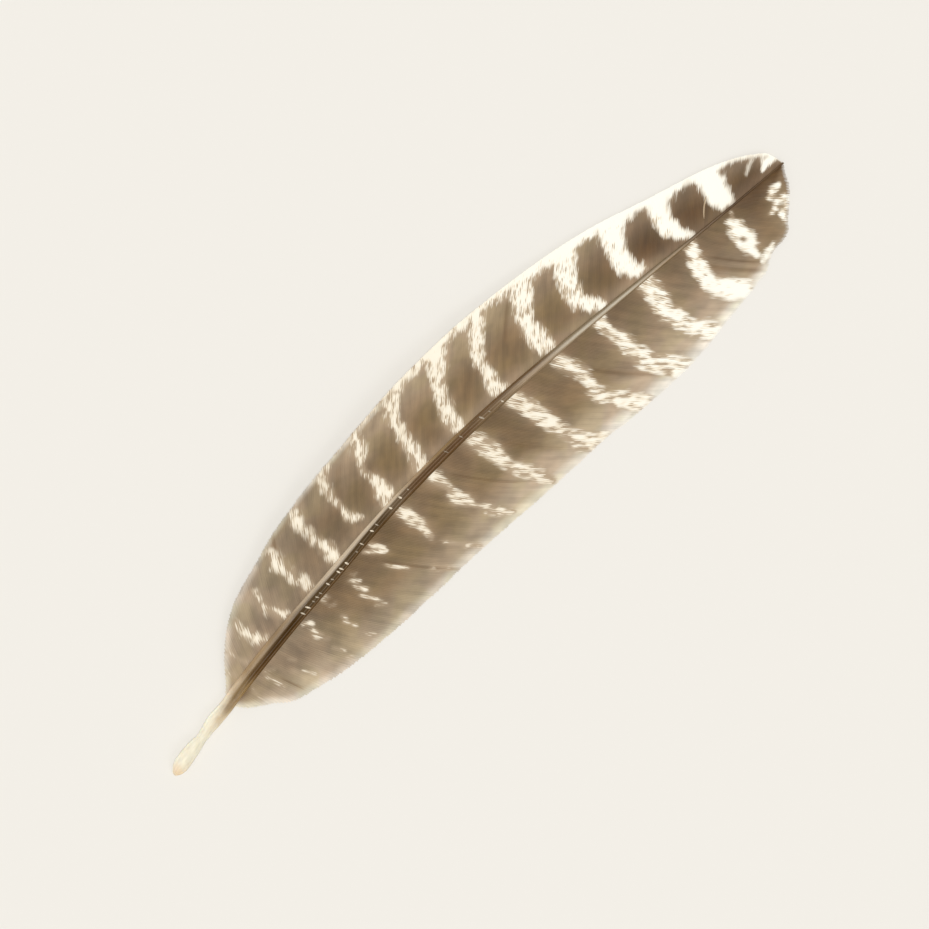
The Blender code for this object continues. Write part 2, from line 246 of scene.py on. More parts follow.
# How far the ground pales where it meets a bar: (x, share)
HALO = [(44, 0.2), (62, 0.35), (90, 0.5), (118, 0.45), (138, 0.25), (200, 0.2)]
HALO_REACH = 1.1  # millimetres over which this falls off
NO_BAR = -4.0  # depth inside a bar of what lies far from every bar
# Near the tip the upper bars fade beside the shaft as painted shade from its flank: from x, to x, share,
# reach
BAR_SHADE_BY_SHAFT = (148, 158, 0.75, 0.8)
# Pale fringe of the outermost barb tips: (x, strength)
FRINGE = {
    UPPER: [(24, 0.5), (62, 0.5), (78, 0.95), (96, 1), (136, 1)],
    LOWER: [(22, 0.6), (36, 0.45), (48, 0.25), (66, 0.3), (82, 0.45), (100, 0.45), (114, 0.55),
            (128, 0.85), (136, 0.95), (178, 0.95), (183, 0.4), (187, 0.1), (194, 0.1)],
}
FRINGE_WIDTH = {
    UPPER: [(22, 2.6), (36, 2.6), (50, 1.6), (74, 1.2), (90, 1.3), (118, 1.3), (200, 1.2)],
    LOWER: [(22, 2.6), (50, 1.6), (66, 1.8), (90, 2.2), (118, 2.5), (128, 3.3), (146, 3.9),
            (156, 3.2), (176, 2.6), (183, 1.6), (194, 1.2)],
}
# Fineness of the streaks in the bars: (x, how many times the usual)
GRAIN = {
    UPPER: [(21, 0.75), (60, 1), (120, 1.25), (200, 1.2)],
    LOWER: [(21, 1), (60, 0.95), (115, 0.85), (150, 1), (200, 1.05)],
}

# Places where barbs part or lie over each other: (root's x, run from, run to, height, width)
PARTINGS = {
    UPPER: [(44.3, 14, 21, 0.22, 0.5), (63, 8, 22, 0.15, 1.3), (116.5, 11, 22, 0.18, 0.8)],
    LOWER: [(31.5, 5, 12, 0.2, 0.35), (65.3, 6, 26, 0.25, 0.35), (91.7, 4, 22, 0.15, 0.25),
            (103, 8, 24, 0.12, 1.6), (128.7, 8, 27, 0.25, 0.9), (166.1, 7, 22, 0.3, 0.8),
            (168.9, 6, 19, 0.2, 0.5)],
}
# One stray pale barb lies over the upper vane: its two ends in plan, its form and its colour
STRAY_BARB = ((177.8, 4.6), (181.9, 8.0))
STRAY_WIDTH, STRAY_THICKNESS = 0.38, 0.20
STRAY_LIFT, STRAY_BOW = 0.22, 0.25
STRAY_RINGS, FLECK_RINGS, SLIVER_AROUND = 13, 7, 8
STRAY_TAN = (194, 169, 141)


def curve(table):
    """A smooth function through a table's points, with no overshoot, for numbers or arrays."""
    xs, ys = np.array(table, float).T
    slopes = np.diff(ys) / np.diff(xs)
    inner = [0.0 if a * b <= 0 else 2 * a * b / (a + b) for a, b in zip(slopes, slopes[1:])]
    tangents = np.array([slopes[0], *inner, slopes[-1]])

    def at(x):
        x = np.clip(x, xs[0], xs[-1])
        i = np.clip(np.searchsorted(xs, x, side="right") - 1, 0, len(xs) - 2)
        h = xs[i + 1] - xs[i]
        t = (x - xs[i]) / h
        return (ys[i] * (2 * t**3 - 3 * t**2 + 1) + tangents[i] * h * (t**3 - 2 * t**2 + t)
                + ys[i + 1] * (3 * t**2 - 2 * t**3) + tangents[i + 1] * h * (t**3 - t**2))
    return at


shaft_line, shaft_half = curve(SHAFT_LINE), curve(SHAFT_HALF_WIDTH)
shaft_depth, shaft_under = curve(SHAFT_DEPTH), curve(SHAFT_UNDERSIDE)
groove_share, roundness = curve(GROOVE_SHARE), curve(ROUNDNESS)
attach_share, upper_lift = curve(ATTACH_SHARE), curve(UPPER_LIFT)


def ramp(x, start, end):
    """0 before start, 1 after end, and an eased rise between."""
    t = np.clip((x - start) / (end - start), 0, 1)
    return t * t * (3 - 2 * t)


def mix(a, b, share):
    """Colours or numbers a and b, mixed by an array of shares."""
    a, b = np.asarray(a, float), np.asarray(b, float)
    share = np.asarray(share, float)
    if a.ndim or b.ndim:
        share = share[..., None]
    return a + (b - a) * share


def soft_noise(u, v, cells=256):
    """Smooth seeded noise from -1 to 1 over two coordinates, one cell to a unit."""
    values = RNG.uniform(-1, 1, (cells, cells))
    iu, iv = np.floor(u).astype(int), np.floor(v).astype(int)
    fu, fv = ramp(u - iu, 0, 1), ramp(v - iv, 0, 1)

    def corner(a, b):
        return values[(iu + a) % cells, (iv + b) % cells]
    low = corner(0, 0) * (1 - fu) + corner(1, 0) * fu
    high = corner(0, 1) * (1 - fu) + corner(1, 1) * fu
    return low * (1 - fv) + high * fv


def linear(colour):
    """A colour from 0 to 255, as seen, to the scene's linear values."""
    c = np.asarray(colour, float) / 255
    return np.where(c <= 0.04045, c / 12.92, ((c + 0.055) / 1.055) ** 2.4)


FLOOR_LIGHT = 1.45  # brightness of a white card flat on the floor
VANE_LIGHT = 1.19  # and of the vanes, which lose some light through themselves
SHAFT_LIGHT = 1.36
GLOSS = 0.020  # reflected light, the same for every colour


def paint(colour, light=VANE_LIGHT):
    """The base colour that shows as the given colour on the lit feather."""
    return np.clip((linear(colour) - GLOSS) / light, 0.002, 0.96)


def vane_height(x, y):
    """Height of the middle of the vane's thickness over the surface."""
    out = y - shaft_line(x)
    attach = shaft_under(x) + attach_share(x) * shaft_depth(x)
    wave = WAVE_HEIGHT * np.sin(2 * np.pi * (x - 0.8 * np.abs(out)) / WAVE_LENGTH)
    share = np.maximum(out, 0) / LIFT_SPAN
    upper = attach + upper_lift(x) * share**1.5 + wave * share
    floor = LOWER_CLEARANCE + VANE_THICKNESS / 2 + 0.45 * shaft_under(x)
    settled = ramp(-out, 0, LOWER_SETTLE_SPAN)
    lower = attach + (floor - attach) * settled + (wave + WAVE_HEIGHT) * 0.6 * settled
    return np.where(out > 0, upper, lower)


def barb_lines(side):
    """Each barb's root, its points in plan, (barbs, rings, 2), how far along they lie, and its length."""
    tables = (ROOT_ANGLE, TIP_ANGLE, EDGE, REACH)
    root_angle, tip_angle, edge, reach = (curve(table[side]) for table in tables)
    roots = np.linspace(VANE_FROM, VANE_TO, BARBS_A_SIDE)
    step = 0.1
    run = np.arange(0, LONGEST_BARB / step) * step
    turned = np.minimum(run / BARB_SPAN, 1)[None, :]
    angle = np.radians(root_angle(roots)[:, None] * (1 - turned) + tip_angle(roots)[:, None] * turned)
    x = roots[:, None] + np.cumsum(np.cos(angle) * step, axis=1)
    y = shaft_line(roots)[:, None] + np.cumsum(np.sin(angle) * step, axis=1)
    past = (side * y > side * edge(x) + reach(x)) | (x > LENGTH)
    length = np.maximum(np.argmax(past, axis=1), 3) * step
    groups = 0.5 + 0.5 * soft_noise(np.arange(BARBS_A_SIDE) / 7.0, np.zeros(BARBS_A_SIDE))
    ragged = TIP_RAGGEDNESS * (0.45 * groups + 0.55 * RNG.random(BARBS_A_SIDE))
    if side == UPPER:
        ragged = ragged * (1 - 0.8 * ramp(roots, 60, 90))
    length = np.maximum(length - ragged, 0.5)
    at = length[:, None] * np.linspace(0, 1, BARB_STEPS + 1)
    plan = [[np.interp(rings, run, places) for rings, places in zip(at, line)] for line in (x, y)]
    return roots, np.stack(plan, axis=-1), at, length


def smooth_max(a, b, reach):
    """The greater of two arrays, with the corner between them rounded over a reach."""
    near = np.maximum(reach - np.abs(a - b), 0) / reach
    return np.maximum(a, b) + near * near * reach / 4


def stroke_depth(x, y, bars):
    """How deep inside the nearest bar each point lies, in mm, and that bar's strength.

    Depths are stretched in narrow bars, whose ends and edges are sharper than those of broad ones.
    """
    depth, strength = np.full(x.shape, -9.0), np.zeros(x.shape)
    for level, points in bars:
        for (x0, y0, w0), (x1, y1, w1) in zip(points, points[1:]):
            dx, dy = x1 - x0, y1 - y0
            t = np.clip(((x - x0) * dx + (y - y0) * dy) / (dx * dx + dy * dy), 0, 1)
            away = np.hypot(x - x0 - t * dx, y - y0 - t * dy)
            width = w0 + (w1 - w0) * t
            here = (width / 2 - away) / np.minimum(1, 0.4 + 0.2 * width)
            nearer = here > depth
            depth = np.where(nearer, here, depth)
            strength = np.where(nearer, level, strength)
    return depth, strength


# Vane colours
DRY_BASE = (170, 149, 124)  # both vanes beside the quill
ASH_BROWN = (149, 130, 106)  # further along, still a little grey
UMBER = (126, 105, 79)
WARM_UMBER = (133, 109, 78)  # the body of the upper vane
DEEP_UMBER = (101, 76, 49)  # the upper vane towards the tip
END_BROWN = (99, 75, 49)  # and at it
END_OLIVE = (152, 131, 99)  # the outer part of the lower vane there
# The paler band beside the shaft is partly the vane's own colour and partly painted light that lifts the
# shade the shaft casts there
HAZE = (176, 154, 126)  # the upper vane beside the shaft, from the quill on
WARM_HAZE = (163, 140, 113)
DIM_HAZE = (151, 130, 104)
TIP_HAZE = (124, 101, 77)
HAZE_SHARE, HAZE_REACH = 0.9, 2.2
# Painted shade: the lower vane darkens where it leaves the quill
BARK_SHADE = (112, 89, 64)  # the lower vane where it leaves the quill
SHAFT_BROWN = (122, 99, 71)  # the lower vane beside the shaft
SHAFT_HAZE = (135, 111, 83)  # and in its paler stretches
TIP_BROWN = (127, 105, 79)  # and towards the tip
TIP_SHADE = (115, 91, 66)
DUSK = (150, 130, 105)  # the lower vane a little way from the quill
HUSK = (140, 117, 86)  # its middle
DUN = (158, 136, 109)
OUTER_TAN = (178, 157, 130)  # and its outer half
DULL_TAN = (167, 148, 122)
PALE_TAN = (194, 174, 148)
SOFT_EDGE = (218, 202, 178)  # its thin outer fringe
FRINGE_WHITE = (247, 241, 227)  # the outermost tips of both vanes
# Painted shadow at the root of the lower vane, beside the quill
ROOT_SHADOW = (112, 88, 62)  # a dark spot where the lower vane leaves the quill
ROOT_SHADOW_X, ROOT_SHADOW_WIDTH = 24.6, 2.1
OLIVE_TINT = (0.985, 1.0, 0.93, 1.0)  # multiplies the ground in soft patches
ROSE_TINT = (1.015, 0.99, 0.985, 1.0)  # and in others
# Painted shade in the partings, where barbs lie over each other
PARTING_SHADE = (0.72, 0.65, 0.56, 1.0)  # multiplies it where barbs part
BAR_TAN = (186, 164, 136)  # the darker streaks in a bar
BAR_CREAM = (246, 232, 206)  # its body
CHALK = (261, 258, 245)  # and its bright streaks
WARM_CHALK = (255, 246, 226)  # which are creamier in the half near the quill


def blend(x, stops, light=VANE_LIGHT):
    """A colour along x, eased between stops of (x, colour as seen) or (from x, to x, colour)."""
    tone = paint(stops[0][-1], light) + 0 * np.asarray(x, float)[..., None]
    for before, stop in zip(stops, stops[1:]):
        tone = mix(tone, paint(stop[-1], light), ramp(x, before[-2], stop[0]))
    return tone


def vane_tones(side, x, share, clear):
    """The dark ground colour of a vane at plan distance x, at a share of the way to its edge.

    clear is the distance from the shaft's side.
    """
    if side == UPPER:
        ground = blend(x, [(22, DRY_BASE), (42, ASH_BROWN), (68, UMBER), (92, 140, WARM_UMBER),
                           (164, 188, DEEP_UMBER), (193, END_BROWN)])
        # Paler beside the shaft: partly its own colour, partly painted light against the shaft's shade
        haze = blend(x, [(26, HAZE), (40, WARM_HAZE), (56, 76, DIM_HAZE), (88, 156, WARM_HAZE),
                         (174, TIP_HAZE)])
        ground = mix(ground, haze, HAZE_SHARE * np.exp(-(np.maximum(clear, 0) / HAZE_REACH) ** 2))
        return mix(ground, paint(PALE_TAN), curve(UPPER_PALING)(x) * ramp(share, 0.4, 0.95))
    inner = blend(x, [(20, BARK_SHADE), (30, DUN), (42, DUSK), (54, 78, SHAFT_BROWN),
                      (88, 100, SHAFT_HAZE), (108, 114, SHAFT_BROWN), (122, SHAFT_HAZE),
                      (150, 166, UMBER), (178, TIP_BROWN), (186, TIP_SHADE), (193, END_BROWN)])
    middle = blend(x, [(20, DRY_BASE), (42, DUSK), (62, 128, HUSK), (144, 168, DUN), (182, UMBER),
                       (190, TIP_SHADE), (197, END_BROWN)])
    outer = blend(x, [(36, PALE_TAN), (50, OUTER_TAN), (62, 84, DULL_TAN), (104, 168, PALE_TAN),
                      (180, DUN), (186, HUSK), (193, END_OLIVE), (198, TIP_BROWN)])
    ground = mix(inner, middle, ramp(share, 0.03, 0.55))
    ground = mix(ground, outer, ramp(share, 0.45, 0.85))
    # Painted shadow where the lower vane leaves the quill
    root_shadow = np.exp(-((x - ROOT_SHADOW_X) / ROOT_SHADOW_WIDTH) ** 2) * (1 - ramp(share, 0.15, 0.45))
    ground = mix(ground, paint(ROOT_SHADOW), 0.85 * root_shadow)
    return mix(ground, paint(SOFT_EDGE), 0.6 * ramp(share, 0.8, 1.0) * (1 - 0.9 * ramp(x, 168, 186)))


def partings(side, roots, run):
    """Height added where barbs lie over their neighbours, and the shade painted in the partings."""
    lift, shade = np.zeros(run.shape), np.zeros(run.shape)
    for root, start, end, height, width in PARTINGS[side]:
        gap = (roots - root)[:, None]
        reach = ramp(run, start, start + 4) * (1 - 0.4 * ramp(run, end, end + 4))
        lift += height * reach * np.where(gap * side >= 0, np.exp(-np.abs(gap) / 2.2), 0)
        line = ramp(run, start, start + 3) * (1 - ramp(run, end - 2, end + 1))
        shade += line * np.exp(-(gap / width) ** 2) * min(1, 0.75 / width ** 0.5)
    return lift, np.clip(shade, 0, 1)


def closed_rings(count, rings, around, outward=1):
    """Quads of many tubes of rings, and the first and last ring of each as caps."""
    ring = np.arange(around)
    start = (np.arange(count)[:, None, None] * rings + np.arange(rings - 1)[None, :, None]) * around
    a, b = start + ring, start + (ring + 1) % around
    quads = np.stack([a, b, b + around, a + around], axis=-1).reshape(-1, 4)
    first = np.arange(count)[:, None] * rings * around + ring[::-1]
    last = (np.arange(count)[:, None] * rings + rings - 1) * around + ring
    return [quads[:, ::outward], np.concatenate([first, last])[:, ::outward]]


def add_object(name, data):
    made = bpy.data.objects.new(name, data)
    bpy.context.scene.collection.objects.link(made)
    return made


def build_mesh(name, points, faces, attributes, material, places, around, turn=(0.0, 0.0)):
    """An object from points in millimetres, lists of faces and named point attributes.

    The attribute tone is a colour. places are the points' places in the UV map, and turn is the step
    on from a ring's first point to the same point after a whole turn.
    """
    mesh = bpy.data.meshes.new(name)
    place = (points.reshape(-1, 3) - [*PLAN_CENTRE, 0]) * MM
    mesh.from_pydata(place.tolist(), [], [f for group in faces for f in group.tolist()])
    for key, values in attributes.items():
        if key == "tone":
            layer = mesh.attributes.new(key, "FLOAT_COLOR", "POINT")
            solid_tones = np.insert(values.reshape(-1, 3), 3, 1.0, axis=1)
            layer.data.foreach_set("color", solid_tones.ravel())
        else:
            layer = mesh.attributes.new(key, "FLOAT", "POINT")
            layer.data.foreach_set("value", values.ravel())
    mesh.shade_smooth()
    mesh.materials.append(material)
    add_map(mesh, faces, places, around, turn)
    return add_object(name, mesh)


def add_map(mesh, faces, places, around, turn):
    """The UV map: each corner's place, with the last strip of a ring ending a turn past its start."""
    quads, caps = faces
    first, last = quads % around == 0, quads % around == around - 1
    closing = first & last.any(axis=1, keepdims=True)
    corners = [places[quads] + closing[..., None] * np.array(turn), places[caps]]
    layer = mesh.uv_layers.new(name="OFBake")
    layer.data.foreach_set("uv", np.concatenate([group.reshape(-1, 2) for group in corners]).ravel())


# A barb's section: shares of its half width, heights that shingle the webs, and the ridge's heights
BARB_SECTION = [(-1, 0.02, 0), (-0.28, 0.015, 0), (0, 0, RAMUS_HEIGHT), (0.28, 0, 0), (1, -0.02, 0),
                (0, 0, -RAMUS_DEPTH)]
BARB_ACROSS, BARB_LEAN, BARB_RIDGE = np.array(BARB_SECTION).T
LEAST_HALF_WIDTH = 0.01


def clumps(run):
    """How far groups of barbs rise and fall, at each barb's rings."""
    barb = np.arange(BARBS_A_SIDE)[:, None] + 0 * run
    rise = sum(height * soft_noise(barb / wide, run / long) for height, wide, long in CLUMPS)
    return rise * ramp(run, 2, 9)


def barb_points(side, roots, plan, run, length, lift):
    """The points of closed barbs, (barbs, rings, section, 3), and the way that each ring faces."""
    tangent = np.gradient(plan, axis=1)
    tangent /= np.linalg.norm(tangent, axis=2, keepdims=True)
    across = np.stack([-tangent[..., 1], tangent[..., 0]], axis=-1)
    room = np.abs((np.gradient(plan, axis=0) * across).sum(-1))
    taper = curve(TAPER[side])(roots)[:, None]
    body = 1 - ramp(run, length[:, None] - taper, length[:, None])
    kept = curve(TIP_WIDTH[side])(roots)[:, None]
    half = 0.5 * OVERLAP * room * (kept + (1 - kept) * body) + LEAST_HALF_WIDTH
    at = plan[:, :, None, :] + across[:, :, None, :] * (BARB_ACROSS * half[..., None])[..., None]
    ridge = (0.45 + 0.55 * (1 - run / length[:, None])) * (0.25 + 0.75 * body)
    z = vane_height(at[..., 0], at[..., 1]) + lift[..., None]
    z = z + BARB_LEAN * side + BARB_RIDGE * ridge[..., None]
    return with_height(at, z), tangent


def bar_cover(side, x, y, tangent, barb, run, along):
    """How deep inside a bar each point lies, and how strong and how solid the bar is there."""
    shift = curve(BAR_JITTER)(x) * soft_noise(barb * 0.26, run / 5.0)
    moved_x, moved_y = (place + tangent[:, :, None, k] * shift for k, place in enumerate((x, y)))
    depth, strength = stroke_depth(moved_x, moved_y, UPPER_BARS if side == UPPER else LOWER_BARS)
    solidity = curve(SOLIDITY[side])(x) - FAINTNESS * (1 - strength)
    solidity = solidity - curve(FADING[side])(x) * ramp(along, 0.35, 0.7)
    if side == UPPER:
        margin = curve(UPPER_MARGIN)(moved_x) - EDGE_SLANT * (curve(EDGE[UPPER])(moved_x) - moved_y)
        strength = np.where(margin > depth, 1.0, strength)
        solidity = solidity + curve(MARGIN_SOLIDITY)(x) * ramp(margin, -0.1, 1.1)
        depth = smooth_max(depth, margin, CORNER_FILL)
    else:
        depth = (depth + curve(LOWER_SWELL)(x)) * curve(LOWER_SHARPNESS)(x)
    for spot_x, spot_y, width in DARK_SPOTS:
        depth = np.minimum(depth, np.hypot(x - spot_x, y - spot_y) - width / 2)
    return depth, strength, solidity


def painted_ground(side, x, y, along, clear, depth, strength):
    """The ground's colour, paler where it meets a bar and towards the outermost tips."""
    tone = vane_tones(side, x, along, clear)
    halo = curve(HALO)(x) * strength * np.exp(np.minimum(depth, 0) / HALO_REACH)
    tone = mix(tone, paint(BAR_TAN), halo)
    to_edge = side * (curve(EDGE[side])(x) - y)
    fringe_width = curve(FRINGE_WIDTH[side])(x)
    fringe = curve(FRINGE[side])(x) * ramp(-to_edge / fringe_width, -1, 0.1)
    return mix(tone, paint(FRINGE_WHITE), fringe)


def weave(side, roots, run):
    """Where each point lies in the pattern of streaks, across the barbs and along them."""
    fineness = curve(GRAIN[side])(roots)[:, None, None]
    counted = np.cumsum(fineness)[:, None, None]
    along = run * fineness
    across = STREAKS_A_BARB * (counted + 0.5 * OVERLAP * BARB_ACROSS * side * fineness)
    across = across + STREAK_SLANT * along
    return across, along


def make_vane(name, side, material):
    """One vane as separate closed barbs, each a web with a ridge along its middle."""
    roots, plan, run, length = barb_lines(side)
    lift, shade = partings(side, roots, run)
    points, tangent = barb_points(side, roots, plan, run, length, lift + clumps(run))
    x, y = points[..., 0], points[..., 1]
    barb = np.arange(BARBS_A_SIDE)[:, None, None] + 0.5 * OVERLAP * BARB_ACROSS * side + 0 * x
    along_barb, shade, run = (rings[..., None] + 0 * x for rings in (run / length[:, None], shade, run))
    depth, strength, solidity = bar_cover(side, x, y, tangent, barb, run, along_barb)
    clear = np.abs(y - shaft_line(x)) - shaft_half(x)
    tone = painted_ground(side, x, y, along_barb, clear, depth, strength)
    # Painted shade: near the tip the upper bars give way to the ground beside the shaft's flank
    if side == UPPER:
        start, end, share, reach = BAR_SHADE_BY_SHAFT
        strength = strength * (1 - share * ramp(x, start, end) * np.exp(-(clear / reach) ** 2))
    weave_across, weave_along = weave(side, roots, run)
    attributes = {
        "tone": tone, "pale": np.maximum(depth, NO_BAR), "strength": strength, "solidity": solidity,
        "shade": shade, "barb": barb, "run": run, "weave_across": weave_across,
        "weave_along": weave_along, "x": x,
    }
    faces = closed_rings(BARBS_A_SIDE, BARB_STEPS + 1, len(BARB_SECTION), -1)
    vane = build_mesh(name, points, faces, attributes, material, barb_places(run), len(BARB_SECTION))
    vane.data.set_sharp_from_angle(angle=math.radians(60))
    return vane


MAP_ROWS = 3  # the barbs of a vane lie side by side in the map, in this many rows
RIDGE_STEP = 0.1  # millimetres that the ridges stand aside there, so that no cap is flat
MAP_FILL = 0.92  # share of a cell of the map that a tube fills
CAP_WAVE = 0.02  # share of it that the rings bend by, so that no cap is flat


def tube_grid(rings, around):
    """How far along a tube each point lies, from 0 to 1, and how far it is turned round it."""
    k, j = np.meshgrid(np.arange(rings), np.arange(around), indexing="ij")
    return k / (rings - 1), 2 * math.pi * j / around


def tube_places(rings, around, index, grid):
    """Places in the map for a tube's rings, in one cell of a square grid of cells."""
    along, turn = tube_grid(rings, around)
    u = (index % grid + 0.5 + MAP_FILL * (along - 0.5) + CAP_WAVE * np.sin(turn)) / grid
    v = (index // grid + 0.5 + MAP_FILL * (turn / (2 * math.pi) - 0.5)) / grid
    return np.stack([u, v], axis=-1).reshape(-1, 2)


def build_tubes(name, points, attributes, material, outward):
    """An object of closed tubes from an array of points, (tubes, rings, around, 3)."""
    count, rings, around, _ = points.shape
    grid = math.ceil(count ** 0.5)
    places = np.concatenate([tube_places(rings, around, i, grid) for i in range(count)])
    return build_mesh(name, points, closed_rings(count, rings, around, outward), attributes, material,
                      places, around, (0.0, MAP_FILL / grid))


def with_height(plan, z):
    """Points in space from points in plan and their heights."""
    return np.concatenate([plan, z[..., None]], axis=-1)


def barb_places(run):
    """Places in the map for the points of a vane: barbs side by side, runs upright."""
    in_row = math.ceil(BARBS_A_SIDE / MAP_ROWS)
    order = np.arange(BARBS_A_SIDE)[:, None, None]
    u = (order % in_row + 0.5 + 0.45 * BARB_ACROSS) / in_row + 0 * run
    ridges = RIDGE_STEP * np.sign(BARB_RIDGE)
    v = (order // in_row + 0.03 + 0.94 * (run + ridges) / run.max()) / MAP_ROWS
    return np.stack([u, v], axis=-1).reshape(-1, 2)


def make_stray_barb(material):
    """One thin barb that lies loose on the upper vane."""
    start, end = (np.array(point) for point in STRAY_BARB)
    ahead = (end - start) / np.linalg.norm(end - start)
    aside = np.array([-ahead[1], ahead[0]])
    along, turn = tube_grid(STRAY_RINGS, SLIVER_AROUND)
    bulge = np.sin(math.pi * along)
    half = STRAY_WIDTH / 2 * (0.25 + 0.75 * bulge ** 0.5)
    plan = (start + (end - start) * along[..., None]
            + aside * (STRAY_BOW * bulge + half * np.cos(turn))[..., None])
    z = vane_height(plan[..., 0], plan[..., 1]) + STRAY_LIFT + STRAY_THICKNESS / 2 * np.sin(turn)
    unmarked = ("strength", "solidity", "shade", "barb", "run", "weave_across", "weave_along")
    attributes = {key: 0 * z for key in unmarked}
    attributes["tone"] = paint(STRAY_TAN) + 0 * z[..., None]
    attributes["pale"] = NO_BAR + 0 * z
    attributes["x"] = plan[..., 0]
    return build_tubes("stray_barb", with_height(plan, z)[None], attributes, material, -1)


# The shaft's colours
QUILL_BLUSH, QUILL_PEACH, QUILL_APRICOT = (262, 240, 211), (250, 225, 190), (250, 221, 182)
QUILL_WHITE, QUILL_CREAM, QUILL_IVORY = (254, 248, 227), (250, 243, 222), (239, 232, 210)
QUILL_SAND, QUILL_TAN, QUILL_BROWN = (231, 219, 195), (213, 195, 166), (166, 144, 112)
QUILL_EDGE = (236, 223, 198)
BASE_BEIGE = (204, 183, 154)
GOLDEN, DULL_GOLD, OCHRE, BARK = (164, 140, 109), (152, 130, 103), (142, 117, 81), (98, 74, 48)
RIDGE_BEIGE, RIDGE_PALE = (190, 172, 148), (202, 185, 161)
GROOVE_DARK, GROOVE_BROWN = (82, 62, 40), (100, 82, 60)
GROOVE_TAN = (124, 105, 83)
RED_BROWN = (114, 89, 65)
FINE_GREY = (188, 176, 154)
FINE_LINE = (137, 120, 96)
FINE_DARK = (108, 87, 65)
END_DARK = (88, 66, 44)
# Three bands of colour lie side by side, with painted light and shade in them: their borders as shares of
# the half width, along x
UPPER_BORDER = [(0, 0.1), (14, 0.15), (20, 0.3), (24, 0.25), (33, 0.08), (42, 0.22), (48, 0.48),
                (60, 0.32), (72, 0.42), (80, 0.46), (95, 0.48), (110, 0.32), (123, 0.25), (137, 0.2),
                (160, 0.15), (200, 0.1)]
LOWER_BORDER = [(0, -0.7), (40, -0.72), (100, -0.75), (112, -0.7), (136, -0.6), (200, -0.65)]
# Upper band: painted highlight along the quill's upper side and on the ridge beside the groove, painted
# shade on the flank from x 108 to 162
UPPER_BAND = [(0.5, QUILL_BLUSH), (3.5, 12, QUILL_CREAM), (15, QUILL_WHITE), (17.5, QUILL_CREAM),
              (20.5, QUILL_EDGE), (24.5, BASE_BEIGE), (29, 34, GOLDEN), (40, DULL_GOLD),
              (52, RIDGE_BEIGE), (62, 78, RIDGE_PALE), (89, DUN), (97, HUSK), (108, 124, FINE_DARK),
              (136, 162, FINE_LINE), (178, FINE_DARK), (186, 190, END_DARK), (195, END_BROWN)]
# Middle band: the groove's dark, partly its own colour and partly painted shade, and painted light on the
# lower flank from x 140 to 152
MIDDLE_BAND = [(0.5, QUILL_PEACH), (3.5, 11.5, QUILL_IVORY), (14, QUILL_SAND), (17, QUILL_TAN),
               (20, QUILL_BROWN), (23, 25, OCHRE), (30, BARK), (37, 44, GROOVE_DARK),
               (49, 75, GROOVE_BROWN), (81, GROOVE_TAN), (88, 102, RED_BROWN), (111, TIP_BROWN),
               (124, DUN), (140, 152, FINE_GREY), (166, DUN), (177, FINE_DARK), (185, 190, END_DARK),
               (195, END_BROWN)]
LOWER_BAND = [(0.5, QUILL_APRICOT), (3.5, QUILL_SAND), (7, 11.5, QUILL_IVORY), (14, QUILL_SAND),
              (17, QUILL_TAN), (20.5, QUILL_BROWN), (25, OCHRE), (32, 98, BARK), (110, UMBER),
              (130, 144, DUN), (166, HUSK), (178, FINE_DARK), (186, 190, END_DARK), (195, END_BROWN)]
UNDERSIDE = [(3, 14, QUILL_CREAM), (40, 100, HUSK), (180, SHAFT_BROWN)]
BAND_SOFTNESS = [(24, 0.5), (42, 0.45), (52, 0.28), (200, 0.28)]
# How much the steep sides of the shaft are lightened, since little light reaches them: (x, share)
UPPER_RIM = [(0, 0.35), (16, 0.35), (30, 0.9), (40, 0.75), (84, 0.9), (92, 1), (104, 1), (120, 0.8),
             (150, 0.4), (200, 0.2)]
LOWER_RIM = [(0, 0.2), (12, 0.25), (19, 0.5), (26, 0.6), (34, 0.4), (84, 0.3), (130, 0.25), (200, 0.1)]
SHAFT_RINGS, SHAFT_AROUND = 420, 84
# The shaft's section from the edge of its flat underside up to the top: (share of half width, of depth)
HALF_SECTION = [(0.3, 0), (0.8, 0.13), (1, 0.4), (0.94, 0.72), (0.66, 0.95), (0.4, 1), (0.16, 1.01)]
GROOVE_MIDDLE = [(20, -0.25), (45, -0.36), (64, -0.34), (78, 0), (95, 0.05), (120, 0)]
GROOVE_HALF_WIDTH = 0.52


def smooth_section():
    """The shaft's section as a closed smooth curve, with the circle that it grows from."""
    mirrored = [(-x, z) for x, z in HALF_SECTION]
    corners = np.array([mirrored[0], *HALF_SECTION, *mirrored[:0:-1]])
    at = np.arange(SHAFT_AROUND) * len(corners) / SHAFT_AROUND
    i = at.astype(int)
    t = (at - i)[:, None]
    a, b, c, d = (corners[(i + j) % len(corners)] for j in (-1, 0, 1, 2))
    grown = 0.5 * (2 * b + (c - a) * t + (2 * a - 5 * b + 4 * c - d) * t**2
                   + (3 * b - a - 3 * c + d) * t**3)
    grown[:, 1] = np.maximum(grown[:, 1], 0)
    turn = 2 * math.pi * (at - 0.5) / len(corners)
    return grown, np.stack([np.sin(turn), 0.5 - 0.5 * np.cos(turn)], axis=-1)


def shaft_surface(x, across, up):
    """The point of the shaft at plan distance x and at shares of its half width and depth."""
    middle = curve(GROOVE_MIDDLE)(x)
    inside = np.clip((across - middle) / GROOVE_HALF_WIDTH, -1, 1)
    groove = groove_share(x) * np.cos(inside * np.pi / 2) ** 1.5
    up = up - groove * ramp(up, 0.6, 0.9)
    return np.stack([x + 0 * up, shaft_line(x) + across * shaft_half(x),
                     shaft_under(x) + up * shaft_depth(x)], axis=-1)


